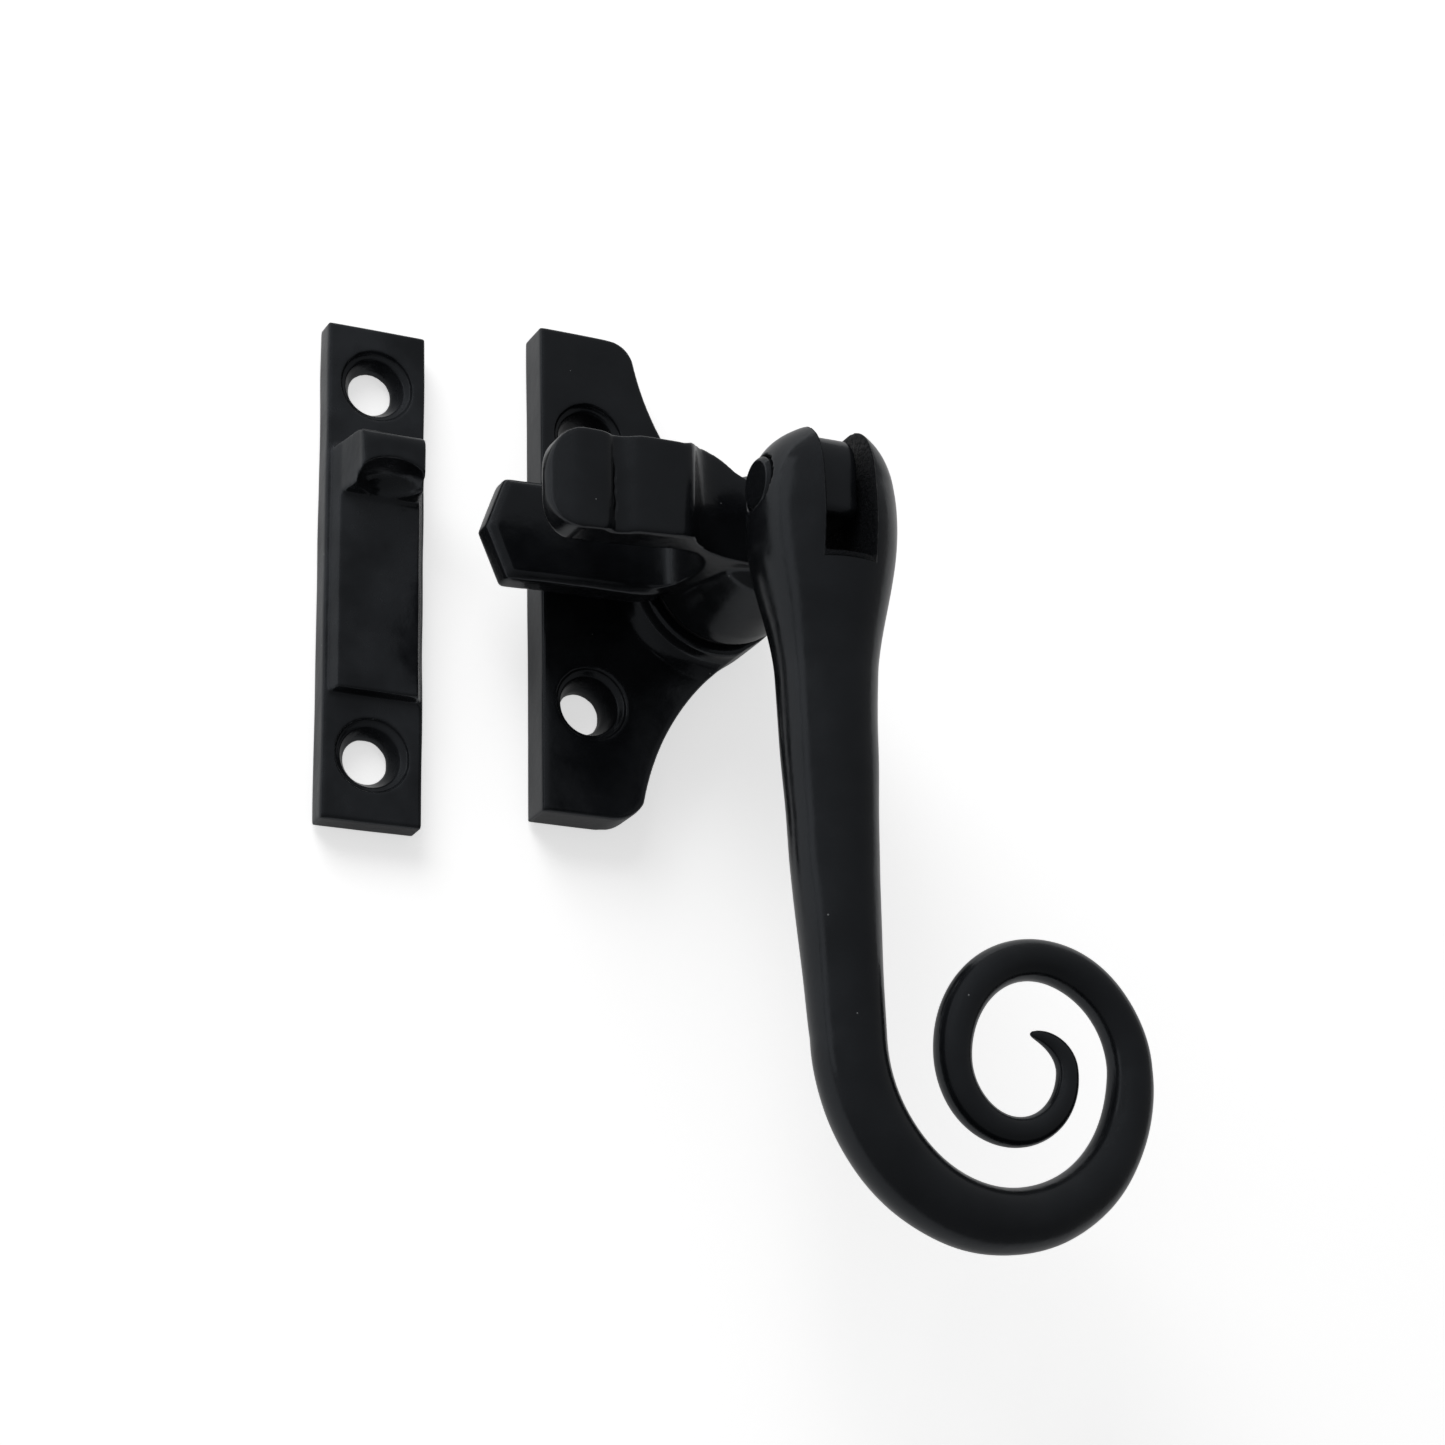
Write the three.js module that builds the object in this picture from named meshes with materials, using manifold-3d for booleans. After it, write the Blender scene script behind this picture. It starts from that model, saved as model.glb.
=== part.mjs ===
// A casement window fastener with a curled handle, and the hook plate that it closes on.
//
// Frame: millimetres, +Z up. The window sash is behind the flat back of the base plate (y = 0), the room is
// at -Y, and the hook plate stands at -X. Every piece is drawn about the spindle axis (x = 0, z = 0); the
// assembly is then shifted so that the origin lies midway between the base plate's two screw holes.

import * as THREE from 'three';
import * as BufferGeometryUtils from 'three/addons/utils/BufferGeometryUtils.js';
import Module from 'manifold-3d';

const wasm = await Module();
wasm.setup();

// ---------------------------------------------------------------- driving dimensions

const GAP = 0.3; // running clearance between separate pieces
const OVERSHOOT = 1; // how far a cutting shape runs out past the surface it cuts
const FINE = 72; // facets round the two largest turned shapes

const PLATE = {
  height: 64,
  left: -22, // edge next to the window frame
  thickness: 5.2,
  endRadius: 9.6, // round end under the boss
  upperWaist: { radius: 34, height: 36.4 }, // hollow from shoulder to round end; height is its centre's
  lowerWaist: { radius: 33.4, height: 35.6 },
  shoulderHeight: 29.6,
  shoulder: -13,
  edgeRound: 0.4,
};

const BOSS = { baseRadius: 12.2, rimRadius: 10.2, height: 3.2 };

const SCREW_HOLE = { x: -15.6, z: 17.7, radius: 2.8, sinkRadius: 4.6, sinkLip: 0.7, throat: 1.5 };

const SPINDLE = {
  radius: 4,
  headRadius: 5.6,
  headHeight: 1.4,
  threadRadius: 2.9,
  end: -21,
  recessRadius: 7.6, // pocket in the back of the plate for the head and its washers
  recessDepth: 4.5,
};

const WASHER = { thrust: 0.6, spring: 0.6, back: 0.8, springRise: 0.5 };

const CLAW = {
  rearTip: -32.6, // how far each claw reaches towards the hook plate
  frontTip: -31.2,
  rearTop: 6.5,
  rearBottom: -6.5,
  rearThickness: 4.4,
  frontTop: 6.8,
  frontBottom: -6.1,
  frontThickness: 4.6,
  ventStep: 16.4, // from one claw's bearing face to the other's: the night-vent opening
  chamfer: 0.8,
};

const HUB = { radius: 9.5, noseRadius: 6.2 };

const PIN = { y: -36.5, radius: 3.2, left: -8.2, right: 7.8 };

const TONGUE = { width: 5.4, reach: 5.2, top: 6.4, bottom: -4.6 };

const HEAD = {
  radius: 8.9, // seen from the room, at its widest
  widest: -4,
  top: 7.5,
  dome: 2.5, // power of the superellipse over the top: 2 is an ellipse, more is squarer
  sideRadius: 8.7, // of the cheeks, seen from the side
  slotWidth: 6.2,
  slotFloor: -10.4,
};

const SHAFT = {
  neck: -23, // height where the head's swelling has run out into the straight taper
  neckRadius: 6,
  foot: -65.4,
  footRadius: 4.3,
  topLean: 0.2, // the centre line leans and bows a little
  footLean: 1.4,
  bowAbove: 0.4,
  bowBelow: -0.3,
};

const SCROLL = {
  quarters: 7,
  halfWidth: 18.2, // of the first quarter turn
  shrink: 0.64, // each half turn against the one before
  tallness: 1.05, // half height over half width
  sag: 0.02, // how much taller the quarters that go down are, and shorter those that go up
  tuck: 0.81, // height of the last quarter against that rule, as the tip is tucked in
  innerRadius: 2.6, // the bar's, after the first half turn
  tipRadius: 1.3, // the bar's, where its end starts to round off
};

const KEEP = {
  x: -43,
  z: -3.6,
  width: 12.6,
  height: 64,
  thickness: 3.4,
  topHole: 24.3,
  bottomHole: -23.6,
  throat: 0.6, // straight part of its screw holes
  blockBottom: -16.5,
  blockRise: 1.6,
  halfWidth: 5.8, // of the block, at its foot
  sideSlope: 0.8,
  hookBottom: 8.7,
  hookTop: 15.6,
  hookRise: 7,
  hookTaper: 0.9, // how much narrower the hook gets on each side towards its end
  scoop: 3.2, // height of the hollow under the hook
};

// ---------------------------------------------------------------- derived places

const bossFace = -(PLATE.thickness + BOSS.height);
const hubBack = bossFace - WASHER.thrust - 2 * GAP;
const rearClawFront = hubBack - CLAW.rearThickness;
const frontClawBack = hubBack - CLAW.ventStep;
const frontClawFront = frontClawBack - CLAW.frontThickness;

// ---------------------------------------------------------------- helpers

const X = new THREE.Vector3(1, 0, 0);
const Y = new THREE.Vector3(0, 1, 0);
const Z = new THREE.Vector3(0, 0, 1);

/** A three.js geometry as a manifold solid. */
function solid(geometry) {
  const bare = geometry.clone();
  bare.deleteAttribute('normal');
  bare.deleteAttribute('uv');
  const merged = BufferGeometryUtils.mergeVertices(bare, 1e-4);
  const vertProperties = new Float32Array(merged.attributes.position.array);
  const triVerts = new Uint32Array(merged.index.array);
  return new wasm.Manifold(new wasm.Mesh({ numProp: 3, vertProperties, triVerts }));
}

/** A manifold solid as a three.js geometry. */
function geometryOf(manifold) {
  const mesh = manifold.getMesh();
  const geometry = new THREE.BufferGeometry();
  geometry.setAttribute('position', new THREE.BufferAttribute(new Float32Array(mesh.vertProperties), 3));
  geometry.setIndex(new THREE.BufferAttribute(new Uint32Array(mesh.triVerts), 1));
  geometry.computeVertexNormals();
  return geometry;
}

/** Joins every solid in the list. */
function join(first, ...others) {
  return others.reduce((sum, next) => sum.add(next), first);
}

/** Cuts every tool out of the body. */
function cut(body, ...tools) {
  return tools.reduce((rest, tool) => rest.subtract(tool), body);
}

/** Extrudes a shape drawn in X and Z from yBack towards the room; round softens its two edges. */
function extrudeToRoom(shape, yBack, depth, round = 0, steps = 2) {
  const geometry = new THREE.ExtrudeGeometry(shape, {
    depth: depth - 2 * round,
    bevelEnabled: round > 0,
    bevelThickness: round,
    bevelSize: round,
    bevelOffset: -round,
    bevelSegments: steps,
    curveSegments: 10,
  });
  geometry.rotateX(Math.PI / 2);
  geometry.translate(0, yBack - round, 0);
  return solid(geometry);
}

/** Extrudes a shape drawn in X and Z from the mounting face, with soft edges on the room side only. */
function extrudeFlatBack(shape, depth, round) {
  const slab = extrudeToRoom(shape, round, depth + round, round);
  const behind = new THREE.BoxGeometry(200, 2 * OVERSHOOT, 200).translate(0, OVERSHOOT, 0);
  return slab.subtract(solid(behind));
}

/** Extrudes a shape drawn in X and Y between two heights. */
function extrudeUp(shape, bottom, top) {
  const options = { depth: top - bottom, bevelEnabled: false, curveSegments: 10 };
  const geometry = new THREE.ExtrudeGeometry(shape, options);
  geometry.translate(0, 0, bottom);
  return solid(geometry);
}

/** Extrudes a shape drawn in Y and Z across X, centred on x = 0; round softens its side edges. */
function extrudeAcross(shape, width, round = 0) {
  const geometry = new THREE.ExtrudeGeometry(shape, {
    depth: width - 2 * round,
    bevelEnabled: round > 0,
    bevelThickness: round,
    bevelSize: round,
    bevelOffset: -round,
    bevelSegments: 1,
    curveSegments: 12,
  });
  geometry.translate(0, 0, round - width / 2);
  geometry.applyMatrix4(new THREE.Matrix4().makeBasis(Y, Z, X));
  return solid(geometry);
}

/** Turns [radius, y] pairs round the Y axis; they start and end on the axis or close on themselves. */
function turn(profile, segments = 40) {
  const points = profile.map(([radius, y]) => new THREE.Vector2(radius, y));
  if (THREE.ShapeUtils.isClockWise(points)) {
    points.reverse();
  }
  return solid(new THREE.LatheGeometry(points, segments));
}

/** A round bar along Y between two places, for boring holes. */
function bore(radius, yFrom, yTo, x = 0, z = 0, segments = 32) {
  const low = Math.min(yFrom, yTo);
  const high = Math.max(yFrom, yTo);
  return turn([[0, low], [radius, low], [radius, high], [0, high]], segments).translate([x, 0, z]);
}

/** A round bar along X, centred on the handle's pin axis. */
function barAlongPin(radius, xFrom, xTo, segments = 32) {
  const geometry = new THREE.CylinderGeometry(radius, radius, Math.abs(xTo - xFrom), segments);
  geometry.rotateZ(Math.PI / 2);
  geometry.translate((xFrom + xTo) / 2, PIN.y, 0);
  return solid(geometry);
}

/** The two-stage countersink and through hole of a wood screw, entering from the room side. */
function screwHole(x, z, face, throat = SCREW_HOLE.throat) {
  const { radius, sinkRadius, sinkLip } = SCREW_HOLE;
  const profile = [
    [0, OVERSHOOT],
    [radius, OVERSHOOT],
    [radius, -throat],
    [sinkRadius - sinkLip, face + sinkLip],
    [sinkRadius, face + sinkLip],
    [sinkRadius, face - OVERSHOOT],
    [0, face - OVERSHOOT],
  ];
  return turn(profile, 32).translate([x, 0, z]);
}

/** Placeholder materials: black paint and bare steel. */
function paint(roughness) {
  return new THREE.MeshStandardMaterial({ color: 0x0c0d0f, roughness, metalness: 0 });
}

function steel() {
  return new THREE.MeshStandardMaterial({ color: 0x8b8d90, roughness: 0.35, metalness: 1 });
}

function part(name, manifold, material) {
  const mesh = new THREE.Mesh(geometryOf(manifold), material);
  mesh.name = name;
  return mesh;
}

// ---------------------------------------------------------------- base plate

/** The arc of a waist, from the round end it touches to the shoulder. Angles are for the upper side. */
function waistArc({ radius, height }) {
  const reach = PLATE.endRadius + radius;
  const centre = Math.sqrt(reach ** 2 - height ** 2);
  const touch = Math.atan2(height, centre);
  const rise = Math.asin((height - PLATE.shoulderHeight) / radius);
  return { radius, height, centre, touch, atEnd: Math.PI + touch, atShoulder: Math.PI + rise };
}

/** Straight on the frame side; on the other, two hollow waists sweep in to the round end under the boss. */
function plateOutline() {
  const { left, endRadius, shoulder, shoulderHeight } = PLATE;
  const top = PLATE.height / 2;
  const upper = waistArc(PLATE.upperWaist);
  const lower = waistArc(PLATE.lowerWaist);
  const corner = shoulder + 2.7;
  const shape = new THREE.Shape();
  shape.moveTo(left, -top);
  shape.lineTo(shoulder, -top);
  shape.quadraticCurveTo(
    corner, -top, lower.centre + lower.radius * Math.cos(lower.atShoulder), -shoulderHeight,
  );
  shape.absarc(lower.centre, -lower.height, lower.radius, -lower.atShoulder, -lower.atEnd, true);
  shape.absarc(0, 0, endRadius, -lower.touch, upper.touch, false);
  shape.absarc(upper.centre, upper.height, upper.radius, upper.atEnd, upper.atShoulder, true);
  shape.quadraticCurveTo(corner, top, shoulder, top);
  shape.lineTo(left, top);
  shape.closePath();
  return shape;
}

/** The hollow skirt of the boss, trimmed to the plate's own outline. */
function bossSkirt() {
  const face = -PLATE.thickness;
  const { baseRadius, rimRadius } = BOSS;
  const flare = baseRadius - rimRadius;
  const skirt = turn([
    [0, face + OVERSHOOT],
    [baseRadius, face + OVERSHOOT],
    [baseRadius, face],
    [rimRadius + flare * 0.45, face - 0.5],
    [rimRadius + flare * 0.12, face - 1.3],
    [rimRadius, face - 2.2],
    [rimRadius, bossFace + 0.3],
    [rimRadius - 0.3, bossFace],
    [0, bossFace],
  ], FINE);
  return skirt.intersect(extrudeToRoom(plateOutline(), 0, PLATE.thickness + BOSS.height + OVERSHOOT));
}

function basePlate() {
  const face = -PLATE.thickness;
  const { x, z } = SCREW_HOLE;
  return cut(
    join(extrudeFlatBack(plateOutline(), PLATE.thickness, PLATE.edgeRound), bossSkirt()),
    screwHole(x, z, face),
    screwHole(x, -z, face),
    bore(SPINDLE.radius + GAP, OVERSHOOT, bossFace - OVERSHOOT),
    bore(SPINDLE.recessRadius, OVERSHOOT, -SPINDLE.recessDepth),
  );
}

// ---------------------------------------------------------------- spindle and washers

const recessFloor = -SPINDLE.recessDepth;
const springBack = recessFloor + GAP + WASHER.spring + WASHER.springRise;
const washerFront = springBack + GAP;
const headFront = washerFront + WASHER.back + GAP;

function ring(inner, outer, yLow, yHigh, rise = 0) {
  return turn([
    [inner, yLow + rise],
    [outer, yLow],
    [outer, yHigh],
    [inner, yHigh + rise],
    [inner, yLow + rise],
  ]);
}

/** Stands on the boss under the hub. */
function thrustWasher() {
  const low = bossFace - GAP - WASHER.thrust;
  return ring(SPINDLE.radius + GAP, BOSS.rimRadius - 1.2, low, low + WASHER.thrust);
}

/** A dished ring that keeps the turning latch stiff. */
function springWasher() {
  const { spring, springRise } = WASHER;
  const low = recessFloor + GAP;
  return ring(SPINDLE.radius + GAP, SPINDLE.recessRadius - 0.8, low, low + spring, springRise);
}

function backWasher() {
  return ring(SPINDLE.radius + GAP, SPINDLE.recessRadius - GAP, washerFront, washerFront + WASHER.back);
}

/** A shouldered bolt from behind: head, plain bearing in the boss, and the end that is fixed in the hub. */
function spindle() {
  const { radius, headRadius, headHeight, threadRadius, end } = SPINDLE;
  const shoulder = hubBack - 3;
  return turn([
    [0, end],
    [threadRadius - 0.5, end],
    [threadRadius, end + 0.5],
    [threadRadius, shoulder],
    [radius, shoulder],
    [radius, headFront],
    [headRadius, headFront],
    [headRadius, headFront + headHeight - 0.4],
    [headRadius - 0.6, headFront + headHeight],
    [0, headFront + headHeight],
  ]);
}

// ---------------------------------------------------------------- latch: hub, two claws and tongue

/** The rear claw from the room: a bar that ends in a blunt point and drops slightly on the way there. */
function rearClaw() {
  const { rearTip, rearTop, rearBottom, rearThickness, chamfer } = CLAW;
  const shape = new THREE.Shape();
  shape.moveTo(-4, rearTop + 1);
  shape.lineTo(rearTip + 2.4, rearTop);
  shape.lineTo(rearTip, 0);
  shape.lineTo(rearTip + 2.7, rearBottom);
  shape.lineTo(-13.5, rearBottom + 0.5);
  shape.quadraticCurveTo(-9, rearBottom + 0.6, -7, rearBottom + 3);
  shape.lineTo(-4, rearBottom + 3);
  shape.closePath();
  return extrudeToRoom(shape, hubBack, rearThickness, chamfer, 1);
}

/**
 * The front claw and the web behind it, from above. The room side swells twice and hollows out round the
 * handle's head; the gap in front of the rear claw ends in a U.
 */
function frontClawPlan() {
  const { frontTip: tip } = CLAW;
  const front = frontClawFront;
  const back = frontClawBack;
  const gapMiddle = (back + rearClawFront) / 2;
  const gapEnd = -8.6;
  const neckSide = -TONGUE.width / 2;
  const shape = new THREE.Shape();
  shape.moveTo(tip + 1.6, back);
  shape.quadraticCurveTo(tip, back, tip, back - 1.7);
  shape.quadraticCurveTo(tip, front + 1.4, tip + 2.2, front + 0.5);
  shape.quadraticCurveTo(tip + 3.2, front, tip + 4.2, front);
  shape.lineTo(tip + 6.4, front);
  shape.quadraticCurveTo(tip + 7.4, front + 0.1, tip + 8, front + 0.8);
  shape.quadraticCurveTo(tip + 9.2, front + 0.8, tip + 10, front + 0.3);
  shape.quadraticCurveTo(tip + 10.8, front - 0.2, tip + 12, front - 0.1);
  shape.lineTo(-14.6, front);
  shape.quadraticCurveTo(-13.2, front + 0.1, -12.4, front + 1.3);
  shape.quadraticCurveTo(-10.6, front + 4.4, -6, front + 4.4);
  shape.lineTo(neckSide, front + 4.2);
  shape.lineTo(-neckSide, front + 4.2);
  shape.lineTo(-neckSide, rearClawFront + OVERSHOOT);
  shape.lineTo(gapEnd - 4, rearClawFront + OVERSHOOT);
  shape.lineTo(gapEnd - 4, rearClawFront);
  shape.quadraticCurveTo(gapEnd, rearClawFront, gapEnd, gapMiddle);
  shape.quadraticCurveTo(gapEnd, back + 0.2, gapEnd - 5, back);
  shape.closePath();
  return shape;
}

/** Its room face: rounded nose, level top that swells and dips to the neck, nearly level underside. */
function frontClawFace() {
  const { frontTip: tip, frontTop: top, frontBottom: bottom } = CLAW;
  const shape = new THREE.Shape();
  shape.moveTo(tip, 0.9);
  shape.quadraticCurveTo(tip + 0.3, top - 0.5, tip + 4, top - 0.2);
  shape.lineTo(tip + 8, top - 0.3);
  shape.lineTo(-14, top);
  shape.quadraticCurveTo(-9.4, top + 2.6, -6.2, top - 0.2);
  shape.quadraticCurveTo(-5, 5.6, -TONGUE.width / 2, 5.2);
  shape.lineTo(4, 3);
  shape.lineTo(4, bottom);
  shape.lineTo(-9, bottom + 0.9);
  shape.lineTo(-14, bottom + 0.8);
  shape.lineTo(tip + 4, bottom - 0.1);
  shape.quadraticCurveTo(tip + 0.8, bottom, tip, -1.6);
  shape.closePath();
  return shape;
}

function frontClaw() {
  const blank = extrudeUp(frontClawPlan(), -12, 12);
  const face = extrudeToRoom(frontClawFace(), hubBack, 30);
  return blank.intersect(face);
}

function hub() {
  const { radius, noseRadius } = HUB;
  return turn([
    [0, hubBack],
    [radius - 0.4, hubBack],
    [radius, hubBack - 0.5],
    [radius, hubBack - 3],
    [radius - 0.6, hubBack - 8],
    [radius - 1.6, frontClawBack + 3],
    [noseRadius, frontClawBack + 1],
    [0, frontClawBack + 1],
  ], FINE);
}

/** The blade inside the handle's fork: round at the top, flat in front and underneath. */
function tongue() {
  const { width, reach, top, bottom } = TONGUE;
  const root = frontClawBack + 2;
  const front = PIN.y - reach;
  const shape = new THREE.Shape();
  shape.moveTo(root, 4);
  shape.lineTo(PIN.y + 6, 4.4);
  shape.quadraticCurveTo(PIN.y + 3.4, top, PIN.y, top);
  shape.quadraticCurveTo(front, top, front, top - reach);
  shape.lineTo(front, bottom + 0.8);
  shape.lineTo(front + 0.8, bottom);
  shape.lineTo(root, bottom);
  shape.closePath();
  return extrudeAcross(shape, width, 0.4);
}

/** The space that the fork's cheeks sweep as the handle folds over. */
function cheekSweep(side) {
  const reach = HEAD.radius + 1;
  const geometry = new THREE.CylinderGeometry(reach - 2.5, reach, HEAD.radius, 40);
  geometry.rotateZ(-side * Math.PI / 2);
  geometry.translate(side * (TONGUE.width / 2 + HEAD.radius / 2), PIN.y, 0);
  return solid(geometry);
}

function latch() {
  const body = cut(join(hub(), rearClaw(), frontClaw()), cheekSweep(-1), cheekSweep(1));
  return cut(
    join(body, tongue()),
    barAlongPin(PIN.radius + GAP, -HEAD.radius, HEAD.radius),
    bore(SPINDLE.radius + GAP, hubBack + OVERSHOOT, hubBack - 3 - GAP),
    bore(SPINDLE.threadRadius + GAP, hubBack, SPINDLE.end - GAP),
  );
}

// ---------------------------------------------------------------- handle and its pin

/** Half width and half height of one quarter turn of the scroll. */
function quarterSize(quarter) {
  const { quarters, halfWidth, shrink, tallness, sag, tuck } = SCROLL;
  const half = halfWidth * shrink ** Math.floor(quarter / 2);
  const goesDown = quarter % 4 === 0 || quarter % 4 === 3;
  const sagged = half * tallness * (goesDown ? 1 + sag : 1 - sag);
  const isTip = quarter === quarters - 1;
  return [half, isTip ? sagged * tuck : sagged];
}

/** Centre line of the handle in X and Z: the shaft, then quarter ellipses that wind in to the tip. */
function handleCentreLine() {
  const path = new THREE.CurvePath();
  const { foot, topLean, footLean, bowAbove, bowBelow } = SHAFT;
  let corner = new THREE.Vector2(footLean, foot);
  path.add(new THREE.CubicBezierCurve(
    new THREE.Vector2(topLean, HEAD.top),
    new THREE.Vector2(bowAbove, (2 * HEAD.top + foot) / 3),
    new THREE.Vector2(bowBelow, (HEAD.top + 2 * foot) / 3),
    corner,
  ));
  for (let quarter = 0; quarter < SCROLL.quarters; quarter += 1) {
    const [halfWidth, halfHeight] = quarterSize(quarter);
    const heading = (quarter % 4) * Math.PI / 2;
    const start = heading + Math.PI;
    const centre = new THREE.Vector2(
      corner.x - halfWidth * Math.cos(start),
      corner.y - halfHeight * Math.sin(start),
    );
    path.add(new THREE.EllipseCurve(
      centre.x, centre.y, halfWidth, halfHeight, start, start + Math.PI / 2, false, 0,
    ));
    corner = new THREE.Vector2(
      centre.x + halfWidth * Math.cos(start + Math.PI / 2),
      centre.y + halfHeight * Math.sin(start + Math.PI / 2),
    );
  }
  return path;
}

/** Radius below the head's widest place: a straight taper that swells into the head above the neck. */
function shaftRadius(height) {
  const { neck, neckRadius, foot, footRadius } = SHAFT;
  const taper = THREE.MathUtils.mapLinear(height, foot, neck, footRadius, neckRadius);
  return THREE.MathUtils.lerp(taper, HEAD.radius, THREE.MathUtils.smoothstep(height, neck, HEAD.widest));
}

/** Radius of the bar some quarter turns into the scroll: it thins over the first half turn, then again. */
function scrollRadius(turned) {
  const { quarters, innerRadius, tipRadius } = SCROLL;
  const ease = 1.75;
  const firstHalf = 2;
  const last = quarters - 1;
  if (turned <= firstHalf) {
    return THREE.MathUtils.lerp(SHAFT.footRadius, innerRadius, (turned / firstHalf) ** ease);
  }
  if (turned <= last) {
    return THREE.MathUtils.lerp(innerRadius, tipRadius, ((turned - firstHalf) / (last - firstHalf)) ** ease);
  }
  return tipRadius * Math.sqrt(1 - 0.98 * (turned - last) ** 2);
}

/** Heights and radii of the head's sections, from just below its pole to its widest place. */
function domeSections() {
  const count = 8;
  const poleShare = 0.3; // the first section stands a little off the pole, so that it has a radius
  const sections = [];
  for (let step = 0; step < count; step += 1) {
    const angle = Math.max(step, poleShare) * Math.PI / (2 * count);
    const rise = Math.cos(angle) ** (2 / HEAD.dome);
    const spread = Math.sin(angle) ** (2 / HEAD.dome);
    const height = THREE.MathUtils.lerp(HEAD.widest, HEAD.top, rise);
    sections.push([height, HEAD.radius * spread]);
  }
  return sections;
}

/**
 * The sections of the handle: which curve of the centre line, how far along it, and the radius there. The top
 * of the head is deeper than it is wide, because its cheeks are round about the pin.
 */
function handleStations() {
  const shaftSteps = 14;
  const perQuarter = 9;
  const sections = domeSections();
  for (let step = 0; step <= shaftSteps; step += 1) {
    const height = THREE.MathUtils.lerp(HEAD.widest, SHAFT.foot, step / shaftSteps);
    sections.push([height, shaftRadius(height)]);
  }
  const stations = sections.map(([height, radius]) => {
    const cheek = Math.sqrt(Math.max(HEAD.sideRadius ** 2 - height ** 2, 0));
    const along = (HEAD.top - height) / (HEAD.top - SHAFT.foot);
    return { curve: 0, along, radius, depth: Math.max(radius, cheek) };
  });
  for (let quarter = 0; quarter < SCROLL.quarters; quarter += 1) {
    for (let step = 1; step <= perQuarter; step += 1) {
      const along = step / perQuarter;
      const radius = scrollRadius(quarter + along);
      stations.push({ curve: quarter + 1, along, radius, depth: radius });
    }
  }
  return stations;
}

/** A cylinder bent along the centre line, its radius changing on the way. */
function handleBlank() {
  const path = handleCentreLine();
  const stations = handleStations();
  const geometry = new THREE.CylinderGeometry(1, 1, 1, 24, stations.length - 1);
  const position = geometry.attributes.position;
  for (let i = 0; i < position.count; i += 1) {
    const row = Math.round((0.5 - position.getY(i)) * (stations.length - 1));
    const { curve, along, radius, depth } = stations[row];
    const centre = path.curves[curve].getPoint(along);
    const tangent = path.curves[curve].getTangent(along);
    const side = position.getX(i) * radius;
    position.setXYZ(
      i,
      centre.x - tangent.y * side,
      PIN.y - position.getZ(i) * depth,
      centre.y + tangent.x * side,
    );
  }
  return solid(geometry);
}

/** The fork's slot: open to the front, the top and the back, with a flat floor. */
function forkSlot() {
  const reach = HEAD.radius + OVERSHOOT;
  const shape = new THREE.Shape();
  shape.moveTo(PIN.y - reach, HEAD.slotFloor);
  shape.lineTo(PIN.y + reach, HEAD.slotFloor);
  shape.lineTo(PIN.y + reach, reach);
  shape.lineTo(PIN.y - reach, reach);
  shape.closePath();
  return extrudeAcross(shape, HEAD.slotWidth);
}

function handle() {
  const pinHole = barAlongPin(PIN.radius + GAP / 2, -HEAD.radius - OVERSHOOT, HEAD.radius + OVERSHOOT);
  return cut(handleBlank(), forkSlot(), pinHole);
}

function handlePin() {
  const { radius, left, right } = PIN;
  const chamfer = 0.4;
  const length = right - left;
  const profile = [[0, 0], [radius - chamfer, 0], [radius, chamfer]];
  profile.push([radius, length - chamfer], [radius - chamfer, length], [0, length]);
  return turn(profile, 32).rotate([0, 0, -90]).translate([left, PIN.y, 0]);
}

// ---------------------------------------------------------------- hook plate

/**
 * Side view of the raised part, y against height: a block for the claw to bear on and the hook over it,
 * with a fine ledge between them.
 */
function hookProfile() {
  const { thickness, hookBottom, blockBottom, blockRise, hookRise, hookTop } = KEEP;
  const face = -thickness;
  const block = face - blockRise;
  const end = face - hookRise;
  const ledge = 0.25;
  const nose = 1;
  const shape = new THREE.Shape();
  shape.moveTo(face + OVERSHOOT, blockBottom);
  shape.lineTo(face, blockBottom);
  shape.lineTo(block, blockBottom + 0.4);
  shape.lineTo(block, hookBottom - 2 * ledge);
  shape.lineTo(block - ledge, hookBottom - ledge);
  shape.lineTo(block - ledge, hookBottom);
  shape.lineTo(end + nose, hookBottom);
  shape.quadraticCurveTo(end, hookBottom, end, hookBottom + nose);
  shape.lineTo(end + 0.3, hookTop - 2);
  shape.quadraticCurveTo(end + 0.5, hookTop, end + 2.2, hookTop);
  shape.lineTo(face + OVERSHOOT, hookTop);
  shape.closePath();
  return shape;
}

/** The raised part from above: block and hook lean in on both sides, and the hook's end is rounded. */
function hookSides() {
  const { thickness, blockRise, halfWidth, sideSlope, hookRise, hookTaper } = KEEP;
  const block = -thickness - blockRise;
  const end = -thickness - hookRise;
  const shoulder = halfWidth - sideSlope;
  const tip = shoulder - hookTaper;
  const nose = 1.2;
  const shape = new THREE.Shape();
  shape.moveTo(-halfWidth, OVERSHOOT - thickness);
  shape.lineTo(-halfWidth, -thickness);
  shape.lineTo(-shoulder, block);
  shape.lineTo(-tip, end + nose);
  shape.quadraticCurveTo(-tip, end, nose - tip, end);
  shape.lineTo(tip - nose, end);
  shape.quadraticCurveTo(tip, end, tip, end + nose);
  shape.lineTo(shoulder, block);
  shape.lineTo(halfWidth, -thickness);
  shape.lineTo(halfWidth, OVERSHOOT - thickness);
  shape.closePath();
  return shape;
}

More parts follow.
